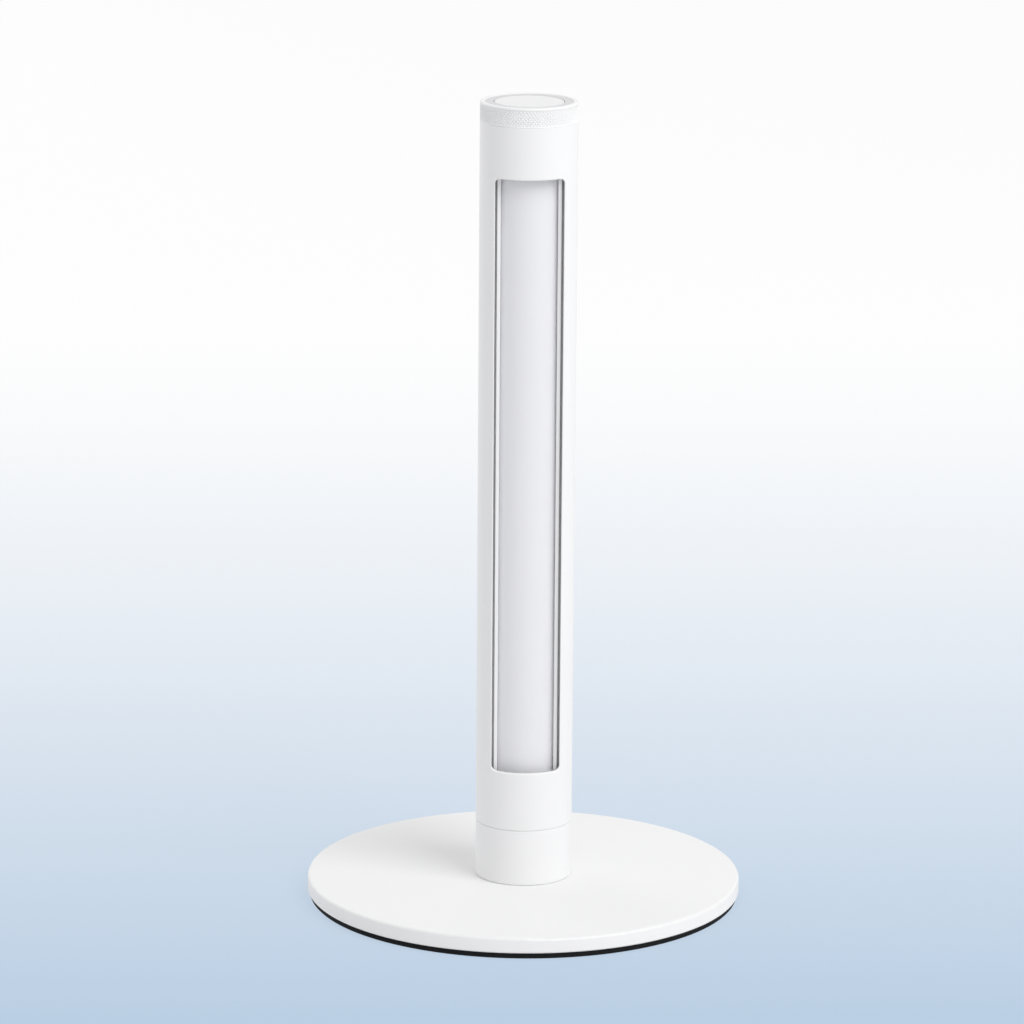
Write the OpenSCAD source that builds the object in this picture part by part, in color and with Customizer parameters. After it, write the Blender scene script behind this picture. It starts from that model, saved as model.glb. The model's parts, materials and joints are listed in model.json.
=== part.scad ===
// Table lamp whose light is shown or hidden by turning a window sleeve.
// A fixed light core stands on a round weighted base. A slim tube with a tall window turns around
// the core on two bushes, through half a turn between stops. The disc on top is a push button.
// Millimetres, +Z up. The origin is the centre of the pad's underside, and the window faces -Y.

/* [Base] */
// Diameter of the base plate
base_d = 180; // [140:1:240]
// Thickness of the base plate
base_t = 6.5; // [6:0.5:12]
// Radius of the plate's top edge
base_edge_r = 1.2; // [0.4:0.1:3]
// Radius of the plate's lower edge
base_under_r = 0.5; // [0.2:0.1:1]
// Thickness of the foot pad
pad_t = 2.5; // [1.5:0.5:5]
// Distance that the pad is set in from the plate's edge
pad_inset = 1; // [0.5:0.5:5]
// Chamfer of the pad's lower edge
pad_chamfer = 0.5; // [0.2:0.1:1]

/* [Column] */
// Outside diameter of the sleeve, collar and cap
column_d = 40; // [38:0.5:46]
// Height of the column above the base plate
column_h = 326; // [220:1:420]
// Height of the fixed collar
collar_h = 23.5; // [22:0.5:32]
// Wall of the collar
collar_wall = 3; // [2.6:0.1:3.4]
// Chamfer of the collar's foot
collar_foot_chamfer = 0.5; // [0.2:0.1:1]
// Chamfer on both sides of the seam
seam_chamfer = 0.15; // [0.05:0.05:0.6]
// Seam between the collar and the sleeve, filled by the thrust washer
seam_gap = 0.3; // [0.2:0.1:1]
// Distance that the thrust washer is set in from the outside
washer_inset = 0.3; // [0.2:0.1:1.2]

/* [Sleeve and window] */
// Wall of the sleeve
sleeve_wall = 1.5; // [1.2:0.1:2]
// Width of the window
window_w = 28; // [18:0.5:30]
// Height of the closed tube below the window
window_foot = 24.5; // [20:0.5:60]
// Height of the closed tube above the window
window_drop = 21.5; // [19:0.5:60]
// Corner radius of the window
window_corner_r = 2; // [0.5:0.25:6]
// Angle that the sleeve turns between its stops
turn_angle = 180; // [90:5:200]

/* [Cap and button] */
// Height of the cap that shows above the sleeve
cap_h = 8; // [7.5:0.5:9]
// Radius of the cap's outer edge
cap_edge_r = 0.7; // [0.3:0.1:0.8]
// Height of the plain rim above the knurl
rim_h = 1; // [1:0.1:3]
// Width of the rim around the recess
rim_w = 2.1; // [1.9:0.1:3]
// Radius of the rim's inner edge
rim_edge_r = 0.4; // [0.2:0.1:0.5]
// Width of the recess between the rim and the button's well
recess_w = 3.4; // [2.8:0.1:5]
// Depth of the recess around the button
recess_depth = 1.2; // [0.8:0.1:2]
// Distance that the trim ring lies below the rim
trim_drop = 0.25; // [0.1:0.05:0.6]
// Wall of the cap's skirt inside the sleeve
skirt_wall = 1.4; // [1.2:0.1:2]
// Floor of the cap under the button
cap_floor_t = 2; // [1.5:0.1:3]
// Thickness of the button's disc
button_t = 3; // [2.8:0.1:4]
// Edge radius of the button
button_edge_r = 0.4; // [0.2:0.1:0.8]
// Distance that the button lies below the rim
button_drop = 0.2; // [0.1:0.1:0.6]
// Travel of the button
button_travel = 1; // [0.5:0.1:1.2]
// Diameter of the button's stem
stem_d = 5.6; // [4.6:0.2:6]
// Length of the stem below the cap's floor
stem_reach = 4.6; // [4:0.2:7]
// Radius at which the button's three hooks stand
hook_r = 9; // [8.6:0.1:10]
// Thickness of a hook's leg
hook_t = 1.2; // [1:0.1:1.5]
// Reach of a hook's barb beyond its leg
barb = 1; // [0.8:0.1:1.2]
// Height of a hook's barb
barb_h = 1.2; // [0.8:0.1:1.6]
// Angle that one hook spans
hook_angle = 24; // [16:1:36]
// Wire diameter of the button's spring
spring_wire_d = 0.4; // [0.3:0.05:0.45]
// Mean diameter of the spring
spring_d = 11; // [9.6:0.2:13]
// Turns of the spring
spring_turns = 2.5; // [2:0.5:2.5]
// Roof of the spring's pocket in the button
pocket_roof = 1.4; // [1:0.1:1.6]

/* [Grip ring] */
// Number of diamonds around the band
knurl_count = 90; // [60:2:110]
// Number of whole diamonds up the band
knurl_rows = 4; // [3:1:5]
// Depth of the knurl
knurl_depth = 0.35; // [0.2:0.05:0.5]
// Wall of the grip ring
grip_wall = 0.85; // [0.75:0.05:1]

/* [Light core] */
// Width of the light core
core_d = 26.2; // [24.6:0.2:27]
// Gap between the core's front corners and the inside of the sleeve
core_gap = 0.9; // [0.6:0.1:3]
// Wall of the diffuser
diffuser_t = 1.3; // [1:0.1:1.8]
// Gap between the diffuser and the spine's lips
diffuser_side_gap = 0.1; // [0.05:0.05:0.3]
// Gap between the front of the diffuser and the inside of the sleeve
diffuser_front_gap = 4; // [1:0.1:5]
// Depth of the diffuser's edges behind the spine's lips
diffuser_dip = 2.4; // [0.4:0.1:3]
// Length of the diffuser's two legs
diffuser_leg = 3.4; // [2.4:0.2:6]
// Radius of the snap beads on the legs
bead_r = 0.5; // [0.4:0.05:0.6]
// Corner radius of the spine's lips
lip_corner_r = 0.3; // [0.1:0.05:0.5]
// Distance from the lips back to the spine's two wings
wing_drop = 3.5; // [2.5:0.1:5]
// Thickness of the wings
wing_t = 1.2; // [1:0.1:1.8]
// Wall of the spine
spine_wall = 1.5; // [1.2:0.1:1.8]
// Thickness of the web that carries the light strip
web_t = 1.6; // [1.2:0.1:2]
// Distance from the column's axis forward to the web's front
web_offset = 2.4; // [2:0.1:3.4]
// Bore of the spine's two screw ports
port_d = 2.4; // [2:0.1:2.6]
// Wall of the screw ports
port_wall = 1.1; // [0.9:0.1:1.3]
// Width of the light strip
led_board_w = 12; // [8:0.5:14]
// Thickness of the light strip
led_board_t = 1.2; // [0.8:0.1:1.6]
// Distance between light packages
led_pitch = 8.5; // [6:0.5:25]
// Width of one light package
led_w = 3.5; // [2:0.1:5]
// Length of one light package
led_l = 2.8; // [2:0.1:5]
// Height of one light package
led_h = 0.7; // [0.5:0.1:1]

/* [Bearings] */
// Wall of the lower bush
lower_bush_wall = 3.4; // [3.2:0.05:3.6]
// Height of the lower bush
lower_bush_h = 8; // [6:0.5:10]
// Diameter of the upper journal
upper_journal_d = 24; // [23:0.2:24.2]
// Height of the upper bush
upper_bush_h = 5; // [4:0.5:6]
// Width of the upper bush's hub and rim
upper_bush_wall = 2; // [1.5:0.1:2.4]
// Thickness of the upper bush's web
upper_bush_web_t = 2; // [1.5:0.1:3]
// Diameter of the stop pin
stop_pin_d = 2; // [1.6:0.1:2.1]
// Length of the stop pin above the collar's top
stop_pin_reach = 2.6; // [2:0.1:3.5]
// Depth of the stop pin in the core's foot
stop_pin_seat = 2.2; // [1.5:0.1:2.5]
// Thickness of the retaining clip
clip_t = 0.9; // [0.8:0.1:1.2]
// Depth of the clip's groove in the journal
clip_groove = 0.8; // [0.6:0.05:0.9]
// Reach of the clip beyond the journal
clip_reach = 1.3; // [1:0.1:1.6]
// Opening angle of the clip
clip_opening = 40; // [20:5:90]

/* [Switch] */
// Width of the push switch
switch_w = 6.2; // [5.8:0.1:7]
// Height of the push switch
switch_h = 3.5; // [3.2:0.1:5]
// Diameter of the switch's plunger
plunger_d = 3.4; // [2.6:0.1:3.6]
// Depth of the plunger in the switch at rest
plunger_seat = 1; // [0.8:0.1:1.2]
// Thickness of the switch board
switch_board_t = 1.2; // [1:0.1:1.6]
// Distance from the axis to the switch board's screws
switch_screw_r = 8.4; // [8:0.1:8.6]

/* [Inlet and driver board] */
// Width of the power inlet's shell
inlet_w = 8.9; // [8:0.1:9.4]
// Height of the power inlet's shell
inlet_h = 3.3; // [3:0.1:4]
// Depth of the power inlet
inlet_depth = 7.4; // [6.5:0.1:8.5]
// Wall of the inlet's shell
inlet_wall = 0.3; // [0.2:0.05:0.4]
// Distance that the inlet's mouth lies inside the collar's face
inlet_recess = 1.2; // [0.6:0.1:1.6]
// Height of the driver board above the base plate
board_lift = 5; // [4:0.5:6]
// Thickness of the driver board
board_t = 1.6; // [1:0.1:2]

/* [Screws] */
// Diameter of the base screws
base_screw_d = 4; // [3:0.5:4.5]
// Length of the base screws
base_screw_l = 16; // [12:1:18]
// Wall of the pillars around the base screws
pillar_wall = 1.5; // [1.2:0.1:1.6]
// Diameter of the switch board's screws
switch_screw_d = 1.8; // [1.4:0.1:2]
// Reach of the spine's screws into their ports
port_screw_reach = 8; // [5:0.5:12]

/* [Fits] */
// Gap around pieces that are pressed in or seated
seat_gap = 0.05; // [0.02:0.01:0.08]
// Radial gap of the turning bushes and of the plunger
running_gap = 0.05; // [0.02:0.01:0.1]
// Gap around the button, the stem and the hooks
slide_gap = 0.3; // [0.2:0.05:0.35]
// Free play along the column at the upper bush
end_play = 0.15; // [0.1:0.05:0.3]

/* [Hidden] */
$fn = 96;

// Overlap of a cutting tool past the face that it cuts
cut = 1;

// Drive recess of a screw, as a share of its head
drive_share = 0.5;

// Radii of the column
column_r = column_d / 2;
sleeve_in_r = column_r - sleeve_wall;
press_r = sleeve_in_r - seat_gap;
collar_in_r = column_r - collar_wall;
core_r = core_d / 2;
core_in_r = core_r - spine_wall;

// Levels of the base, from the table up
plate_z = pad_t;
plate_top = plate_z + base_t;
collar_top = plate_top + collar_h;
sleeve_z = collar_top + seam_gap;

// Flange of the core's foot, let into the top of the collar
flange_t = 3;
flange_lap = 1.2;
flange_r = collar_in_r + flange_lap - seat_gap;
flange_z = collar_top - flange_t;

// Lower journal and the foot of the spine
lower_journal_r = press_r - lower_bush_wall - running_gap;
lower_bush_in_r = lower_journal_r + running_gap;
journal_margin = 1.5;
spine_z = sleeve_z + lower_bush_h + journal_margin;
stop_r = (lower_bush_in_r + press_r) / 2;

// Pillars of the core's foot, around the driver board
pillar_hole_r = base_screw_d / 2 + seat_gap;
pillar_r = pillar_hole_r + pillar_wall;
pillar_shoulder = 0.5;
pillar_edge = 0.6;
pillar_circle_r = collar_in_r - pillar_r - pillar_shoulder - pillar_edge;
pillar_angles = [45, 135, 225, 315];
pillar_hole_top = plate_top + base_screw_l - base_t + cut;
spacer_wall = 1;

// Countersunk head of the base screws
screw_head_lip = 1.8;
screw_head_r = base_screw_d / 2 + screw_head_lip;
screw_head_h = screw_head_lip;
screw_head_land = 0.4;
plate_hole_r = base_screw_d / 2 + slide_gap;

// Driver board and inlet
board_z = plate_top + board_lift;
board_top = board_z + board_t;
board_edge_gap = 0.5;
board_r = collar_in_r - board_edge_gap;
inlet_z = board_top + inlet_h / 2;
inlet_mouth_y = column_r - inlet_recess;
inlet_y = inlet_mouth_y - inlet_depth;
inlet_back_t = 0.8;
inlet_slot_gap = 0.35;
tongue_side_gap = 1.1;
tongue_w = inlet_w - 2 * tongue_side_gap;
tongue_t = 0.7;
tongue_front_gap = 2;
tongue_l = inlet_depth - inlet_back_t - tongue_front_gap;

// Components on the driver board
choke_w = 6;
choke_h = 3;
choke_corner_r = 1.2;
capacitor_r = 2.5;
capacitor_h = 6;
chip_w = 4;
chip_h = 1;
chip_edge_gap = 5;
component_inset = 0.25;
component_x = polar(pillar_circle_r, pillar_angles[0])[0] - component_inset;

// Top of the column, from the rim down
top_z = plate_top + column_h;
cap_z = top_z - cap_h;
grip_top = top_z - rim_h;
recess_z = top_z - recess_depth;
recess_r = column_r - rim_w;
trim_z = recess_z + seat_gap;
well_r = recess_r - recess_w;
button_r = well_r - slide_gap;
button_top = top_z - button_drop;
button_z = button_top - button_t;
button_stop_gap = 0.2;
well_z = button_z - button_travel - button_stop_gap;
cap_under = well_z - cap_floor_t;
pocket_top = button_top - pocket_roof;
pocket_gap = 1.2;
spring_rings_per_turn = 12;
stem_r = stem_d / 2;
stem_end = cap_under - stem_reach;
hook_angles = [30, 150, 270];
hook_slot_margin = 4;
hook_touch = 0.05;

// Switch on the core's head, under the stem
stem_touch = 0.05;
plunger_top = stem_end - stem_touch;
switch_top = plunger_top - button_travel - button_stop_gap;
switch_z = switch_top - switch_h;
plunger_r = plunger_d / 2;
plunger_z = switch_top - plunger_seat;
plunger_well_z = plunger_z - button_travel - button_stop_gap;
head_top = switch_z - switch_board_t;

// Upper journal, its clip and its bush
upper_journal_r = upper_journal_d / 2;
upper_bush_in_r = upper_journal_r + running_gap;
groove_r = upper_journal_r - clip_groove;
clip_neck = 0.8;
groove_top = head_top - clip_neck;
groove_z = groove_top - clip_t - 2 * seat_gap;
upper_bush_top = groove_z + seat_gap - end_play;
upper_bush_z = upper_bush_top - upper_bush_h;
head_flange_t = 2;
head_flange_top = upper_bush_z - end_play;
spine_top = head_flange_top - head_flange_t;
spine_h = spine_top - spine_z;
switch_board_inset = 1.2;
switch_board_r = upper_journal_r - switch_board_inset;
switch_corner_r = 0.6;
switch_screw_head_r = 1.55;
switch_screw_head_h = 1;
switch_screw_reach = 4;
head_seat_depth = 2.6;

// Skirt of the cap, down to just above the upper bush
skirt_gap = 3.5;
skirt_z = upper_bush_top + skirt_gap;
skirt_in_r = press_r - skirt_wall;
grip_seat_r = column_r - grip_wall - seat_gap;

// Window in the sleeve
window_z = sleeve_z + window_foot;
window_h = cap_z - window_drop - window_z;

// Spine and diffuser
web_y = -web_offset;
port_screw_r = port_d / 2 - seat_gap;
port_head_lip = 1.2;
port_head_r = port_d / 2 + port_head_lip;
port_head_h = 2.2;
port_head_wall = 0.6;
port_web_gap = 0.4;
port_y = web_y + web_t + port_d / 2 + port_web_gap;
port_x = sqrt(pow(groove_r - port_head_r - port_head_wall, 2) - pow(port_y, 2));
port_r = port_d / 2 + port_wall;
core_reach = sleeve_in_r - core_gap;
lip_y = -sqrt(pow(core_reach, 2) - pow(core_r, 2));
diffuser_end_gap = 0.5;
diffuser_half = core_in_r - diffuser_side_gap;
diffuser_edge_y = lip_y + diffuser_dip;
diffuser_rise = sleeve_in_r - diffuser_front_gap + diffuser_edge_y;
diffuser_r = (pow(diffuser_half, 2) + pow(diffuser_rise, 2)) / (2 * diffuser_rise);
diffuser_y = diffuser_edge_y - diffuser_rise + diffuser_r;
bead_sink = 0.15;
bead_x = diffuser_half - bead_sink;
bead_y = diffuser_edge_y + diffuser_leg / 2;
wing_y = lip_y + wing_drop;
wing_tip_x = sqrt(pow(core_reach, 2) - pow(wing_y, 2));

// Light strip, from just above the core's foot to just under its head
led_board_margin = 1;
led_board_z = spine_z + led_board_margin;
led_board_h = spine_h - 2 * led_board_margin;
led_count = floor((led_board_h - 2 * led_pitch) / led_pitch) + 1;
led_start = led_board_z + (led_board_h - (led_count - 1) * led_pitch) / 2;
led_y = web_y - led_board_t - led_h;

// Leads
lead_r = 0.7;
light_lead_r = 0.5;
light_lead_x = 2;
light_lead_y = web_y - led_board_t / 2;
switch_lead_x = 1.1;
switch_lead_y = 4.5;
connector_h = 6;
connector_w = 8;
connector_d = 4.4;
lead_slot_w = 6.4;
lead_slot_margin = 0.9;
lead_slot_corner_r = 1.5;
lead_slot_front = light_lead_y - light_lead_r - lead_slot_margin;
lead_slot_back = switch_lead_y + lead_r + lead_slot_margin;

function polar(r, a) = [r * cos(a), r * sin(a)];

// Flat ring with square edges
module ring(r_in, r_out, h) {
    difference() {
        cylinder(r = r_out, h = h);
        translate([0, 0, -cut]) cylinder(r = r_in, h = h + 2 * cut);
    }
}

// Half profile of a disc whose top edge is rounded
module rounded_half(r, t, edge) {
    intersection() {
        square([r, t]);
        union() {
            square([r - edge, t]);
            square([r, t - edge]);
            translate([r - edge, t - edge]) circle(r = edge);
        }
    }
}

// Cut that rounds the top edge of a wall, which stands at x = 0 with its top at y = 0
module edge_cut(r) {
    difference() {
        translate([0, -r]) square([r, r + cut]);
        translate([r, -r]) circle(r = r);
    }
}

// Rectangle with rounded corners, centred
module rounded_rect(w, h, r) {
    square([w - 2 * r, h], center = true);
    square([w, h - 2 * r], center = true);
    for (x = [-1, 1], y = [-1, 1])
        translate([x * (w / 2 - r), y * (h / 2 - r)]) circle(r = r);
}

// Slot with round ends, centred
module stadium(w, h) {
    square([w - h, h], center = true);
    for (x = [-1, 1]) translate([x * (w - h) / 2, 0]) circle(r = h / 2);
}

// Screw with a flat-topped head, the head's seat at z = 0 and the shank pointing up
module headed_screw(shank_r, head_r, head_h, length) {
    difference() {
        union() {
            translate([0, 0, -head_h]) cylinder(r = head_r, h = head_h);
            cylinder(r = shank_r, h = length);
        }
        translate([0, 0, -head_h - cut])
            cylinder(r = head_r * drive_share, h = head_h * drive_share + cut, $fn = 6);
    }
}

module at_pillars() {
    for (a = pillar_angles) translate(polar(pillar_circle_r, a)) children();
}

module at_ports() {
    for (x = [-1, 1]) translate([x * port_x, port_y]) children();
}

module at_beads() {
    for (x = [-1, 1]) translate([x * bead_x, bead_y]) children();
}

module at_switch_screws() {
    for (y = [-1, 1]) translate([0, y * switch_screw_r]) children();
}

module foot_pad() {
    r = base_d / 2 - pad_inset;
    color("#1c1c1e") rotate_extrude()
        polygon([[0, 0], [r - pad_chamfer, 0], [r, pad_chamfer], [r, pad_t], [0, pad_t]]);
}

module base_plate() {
    r = base_d / 2;
    color("#f2f2f3") difference() {
        translate([0, 0, plate_z]) rotate_extrude() intersection() {
            rounded_half(r, base_t, base_edge_r);
            polygon([[0, 0], [r - base_under_r, 0], [r, base_under_r], [r, base_t], [0, base_t]]);
        }
        at_pillars() {
            translate([0, 0, plate_z - cut]) cylinder(r = plate_hole_r, h = base_t + 2 * cut);
            translate([0, 0, plate_z - cut]) cylinder(r = screw_head_r + seat_gap, h = cut + screw_head_land);
            translate([0, 0, plate_z + screw_head_land])
                cylinder(r1 = screw_head_r + seat_gap, r2 = base_screw_d / 2 + seat_gap, h = screw_head_h);
        }
    }
}

module base_screws() {
    shank_r = base_screw_d / 2;
    cone_top = screw_head_land + screw_head_h;
    color("#8d9094") at_pillars() translate([0, 0, plate_z]) difference() {
        rotate_extrude() polygon([
            [0, 0], [screw_head_r, 0], [screw_head_r, screw_head_land],
            [shank_r, cone_top], [shank_r, base_screw_l], [0, base_screw_l]
        ]);
        translate([0, 0, -cut]) cylinder(r = screw_head_r * drive_share / 2, h = cut + cone_top, $fn = 6);
    }
}

module collar() {
    seat_r = collar_in_r + flange_lap;
    color("#f2f2f3") difference() {
        rotate_extrude() polygon([
            [collar_in_r, plate_top],
            [column_r - collar_foot_chamfer, plate_top],
            [column_r, plate_top + collar_foot_chamfer],
            [column_r, collar_top - seam_chamfer],
            [column_r - seam_chamfer, collar_top],
            [seat_r, collar_top],
            [seat_r, flange_z],
            [collar_in_r, flange_z]
        ]);
        translate([0, inlet_y, inlet_z]) rotate([-90, 0, 0])
            linear_extrude(inlet_depth + inlet_recess + cut)
                stadium(inlet_w + 2 * inlet_slot_gap, inlet_h + 2 * inlet_slot_gap);
    }
}

module core_foot() {
    color("#3a3b3f") difference() {
        union() {
            rotate_extrude() polygon([
                [0, flange_z], [flange_r, flange_z], [flange_r, collar_top],
                [lower_journal_r, collar_top], [lower_journal_r, spine_z], [0, spine_z]
            ]);
            at_pillars() {
                translate([0, 0, plate_top]) cylinder(r = pillar_r, h = flange_z - plate_top);
                translate([0, 0, board_top])
                    cylinder(r = pillar_r + pillar_shoulder, h = flange_z - board_top);
            }
        }
        at_pillars() translate([0, 0, plate_top - cut])
            cylinder(r = pillar_hole_r, h = pillar_hole_top - plate_top + cut);
        at_ports() translate([0, 0, flange_z - cut])
            cylinder(r = port_screw_r + slide_gap, h = spine_z - flange_z + 2 * cut);
        translate([0, stop_r, collar_top - stop_pin_seat])
            cylinder(r = stop_pin_d / 2 + seat_gap, h = stop_pin_seat + cut);
        translate([0, (lead_slot_front + lead_slot_back) / 2, flange_z - cut])
            linear_extrude(spine_z - flange_z + 2 * cut)
                rounded_rect(lead_slot_w, lead_slot_back - lead_slot_front, lead_slot_corner_r);
    }
}

module thrust_washer() {
    color("#d9d9d4") translate([0, 0, collar_top]) difference() {
        ring(lower_journal_r + slide_gap / 2, column_r - washer_inset, seam_gap);
        translate([0, stop_r, -cut])
            cylinder(r = stop_pin_d / 2 + seat_gap, h = seam_gap + 2 * cut);
    }
}

module stop_pin() {
    color("#b9bcc0") translate([0, stop_r, collar_top - stop_pin_seat])
        cylinder(r = stop_pin_d / 2, h = stop_pin_seat + stop_pin_reach);
}

module board_spacers() {
    color("#c9cbce") at_pillars() translate([0, 0, plate_top])
        ring(pillar_r + seat_gap, pillar_r + seat_gap + spacer_wall, board_lift);
}

module driver_board() {
    color("#1f5a3a") translate([0, 0, board_z]) difference() {
        cylinder(r = board_r, h = board_t);
        at_pillars() translate([0, 0, -cut]) cylinder(r = pillar_r + seat_gap, h = board_t + 2 * cut);
    }
}

module driver_parts() {
    color("#2b2c30") translate([0, 0, board_top]) {
        translate([-component_x, 0, 0]) linear_extrude(choke_h)
            rounded_rect(choke_w, choke_w, choke_corner_r);
        translate([component_x, 0, 0]) cylinder(r = capacitor_r, h = capacitor_h);
        translate([-chip_w / 2, -collar_in_r + chip_edge_gap, 0]) cube([chip_w, chip_w, chip_h]);
        for (y = [light_lead_y, switch_lead_y])
            translate([0, y, 0]) linear_extrude(connector_h)
                square([connector_w, connector_d], center = true);
    }
}

module inlet_shell() {
    color("#c2c4c8") translate([0, inlet_y, inlet_z]) rotate([-90, 0, 0]) difference() {
        linear_extrude(inlet_depth) stadium(inlet_w, inlet_h);
        translate([0, 0, inlet_back_t]) linear_extrude(inlet_depth)
            stadium(inlet_w - 2 * inlet_wall, inlet_h - 2 * inlet_wall);
    }
}

module inlet_tongue() {
    color("#26272b") translate([-tongue_w / 2, inlet_y + inlet_back_t, inlet_z - tongue_t / 2])
        cube([tongue_w, tongue_l, tongue_t]);
}

// Deep channel with a round back, a web that carries the light strip, a lip beside each leg of the diffuser
// and a wing on each side that keeps light from passing behind the core
module spine() {
    lip_h = lip_corner_r - lip_y;
    wing_root_x = core_r - spine_wall / 2;
    color("#f4f4f5") translate([0, 0, spine_z]) linear_extrude(spine_h) difference() {
        union() {
            intersection() {
                difference() {
                    circle(r = core_r);
                    circle(r = core_in_r);
                }
                translate([-core_r, 0]) square([2 * core_r, core_r]);
            }
            for (side = [0, 1]) mirror([side, 0]) {
                translate([wing_root_x, lip_y + lip_h / 2]) rounded_rect(spine_wall, lip_h, lip_corner_r);
                translate([wing_root_x, wing_y]) square([wing_tip_x - wing_root_x, wing_t]);
            }
            translate([-core_in_r - spine_wall / 2, web_y]) square([2 * core_in_r + spine_wall, web_t]);
            at_ports() circle(r = port_r);
        }
        at_ports() circle(r = port_d / 2);
        at_beads() circle(r = bead_r + seat_gap);
    }
}

module foot_screws() {
    color("#8d9094") at_ports() translate([0, 0, flange_z])
        headed_screw(port_screw_r, port_head_r, port_head_h, spine_z - flange_z + port_screw_reach);
}

module led_board() {
    color("#e9ecef") translate([-led_board_w / 2, web_y - led_board_t, led_board_z])
        cube([led_board_w, led_board_t, led_board_h]);
}

module led_chips() {
    color("#f3dd84") for (i = [0 : led_count - 1])
        translate([-led_w / 2, led_y, led_start + i * led_pitch - led_l / 2]) cube([led_w, led_h, led_l]);
}

module light_leads() {
    color("#b3261e") for (x = [-1, 1])
        translate([x * light_lead_x, light_lead_y, board_top + connector_h])
            cylinder(r = light_lead_r, h = led_board_z - board_top - connector_h);
}

// Bulging opal cover whose two legs snap in between the lips
module diffuser() {
    color("#e4e4ea") translate([0, 0, spine_z + diffuser_end_gap])
        linear_extrude(spine_h - 2 * diffuser_end_gap) {
            intersection() {
                translate([0, diffuser_y]) difference() {
                    circle(r = diffuser_r);
                    circle(r = diffuser_r - diffuser_t);
                }
                translate([-diffuser_half, diffuser_edge_y - diffuser_rise])
                    square([2 * diffuser_half, diffuser_rise + diffuser_t]);
            }
            for (x = [-diffuser_half, diffuser_half - diffuser_t]) translate([x, diffuser_edge_y])
                square([diffuser_t, diffuser_leg]);
            at_beads() circle(r = bead_r);
        }
}

module core_head() {
    color("#3a3b3f") difference() {
        rotate_extrude() polygon([
            [0, spine_top], [core_reach, spine_top], [core_reach, head_flange_top],
            [upper_journal_r, head_flange_top], [upper_journal_r, groove_z], [groove_r, groove_z],
            [groove_r, groove_top], [upper_journal_r, groove_top], [upper_journal_r, head_top], [0, head_top]
        ]);
        at_ports() {
            translate([0, 0, spine_top - cut])
                cylinder(r = port_screw_r + slide_gap, h = head_top - spine_top + 2 * cut);
            translate([0, 0, head_top - head_seat_depth])
                cylinder(r = port_head_r + slide_gap, h = head_seat_depth + cut);
        }
        at_switch_screws() translate([0, 0, head_flange_top])
            cylinder(r = switch_screw_d / 2 + seat_gap, h = head_top - head_flange_top + cut);
        translate([0, switch_lead_y, spine_top - cut]) linear_extrude(head_top - spine_top + 2 * cut)
            stadium(2 * (switch_lead_x + lead_r + lead_slot_margin), 2 * (lead_r + lead_slot_margin));
    }
}

module head_screws() {
    seat_z = head_top - head_seat_depth;
    color("#8d9094") at_ports() translate([0, 0, seat_z]) mirror([0, 0, 1])
        headed_screw(port_screw_r, port_head_r, port_head_h, seat_z - spine_top + port_screw_reach);
}

module retaining_clip() {
    color("#77797d") translate([0, 0, groove_z + seat_gap])
        rotate([0, 0, 90 + clip_opening / 2]) rotate_extrude(angle = 360 - clip_opening)
            translate([groove_r + seat_gap, 0]) square([clip_groove + clip_reach - seat_gap, clip_t]);
}

module switch_leads() {
    color("#d7d7d2") for (x = [-1, 1])
        translate([x * switch_lead_x, switch_lead_y, board_top + connector_h])
            cylinder(r = lead_r, h = head_top - board_top - connector_h);
}

module switch_board() {
    color("#1f5a3a") translate([0, 0, head_top]) difference() {
        cylinder(r = switch_board_r, h = switch_board_t);
        at_switch_screws() translate([0, 0, -cut])
            cylinder(r = switch_screw_d / 2 + seat_gap, h = switch_board_t + 2 * cut);
    }
}

module switch_board_screws() {
    color("#8d9094") at_switch_screws() translate([0, 0, switch_z]) mirror([0, 0, 1])
        headed_screw(
            switch_screw_d / 2, switch_screw_head_r, switch_screw_head_h, switch_board_t + switch_screw_reach
        );
}

module switch_body() {
    color("#232428") difference() {
        translate([0, 0, switch_z]) linear_extrude(switch_h)
            rounded_rect(switch_w, switch_w, switch_corner_r);
        translate([0, 0, plunger_well_z])
            cylinder(r = plunger_r + running_gap, h = switch_top - plunger_well_z + cut);
    }
}

module switch_plunger() {
    color("#e8e8e8") translate([0, 0, plunger_z]) cylinder(r = plunger_r, h = plunger_top - plunger_z);
}

module sleeve() {
    color("#f2f2f3") difference() {
        rotate_extrude() polygon([
            [sleeve_in_r, sleeve_z], [column_r - seam_chamfer, sleeve_z],
            [column_r, sleeve_z + seam_chamfer], [column_r, cap_z], [sleeve_in_r, cap_z]
        ]);
        translate([0, 0, window_z + window_h / 2]) rotate([90, 0, 0])
            linear_extrude(column_r + cut) rounded_rect(window_w, window_h, window_corner_r);
    }
}

// Bearing ring whose underside has the arc groove that runs over the stop pin
module lower_bush() {
    pin_r = stop_pin_d / 2;
    groove_half = pin_r + running_gap + seat_gap;
    pin_angle = asin(groove_half / stop_r);
    groove_depth = stop_pin_reach - seam_gap + slide_gap;
    color("#d9d9d4") translate([0, 0, sleeve_z]) difference() {
        ring(lower_bush_in_r, press_r, lower_bush_h);
        translate([0, 0, -cut]) rotate([0, 0, 90 - turn_angle - pin_angle])
            rotate_extrude(angle = turn_angle + 2 * pin_angle)
                translate([stop_r - groove_half, 0]) square([2 * groove_half, groove_depth + cut]);
    }
}

// Bearing ring with a thin web between its hub and its rim
module upper_bush() {
    web_z = (upper_bush_h - upper_bush_web_t) / 2;
    color("#d9d9d4") translate([0, 0, upper_bush_z]) {
        ring(upper_bush_in_r, upper_bush_in_r + upper_bush_wall, upper_bush_h);
        ring(press_r - upper_bush_wall, press_r, upper_bush_h);
        translate([0, 0, web_z]) ring(upper_bush_in_r, press_r, upper_bush_web_t);
    }
}

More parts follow.
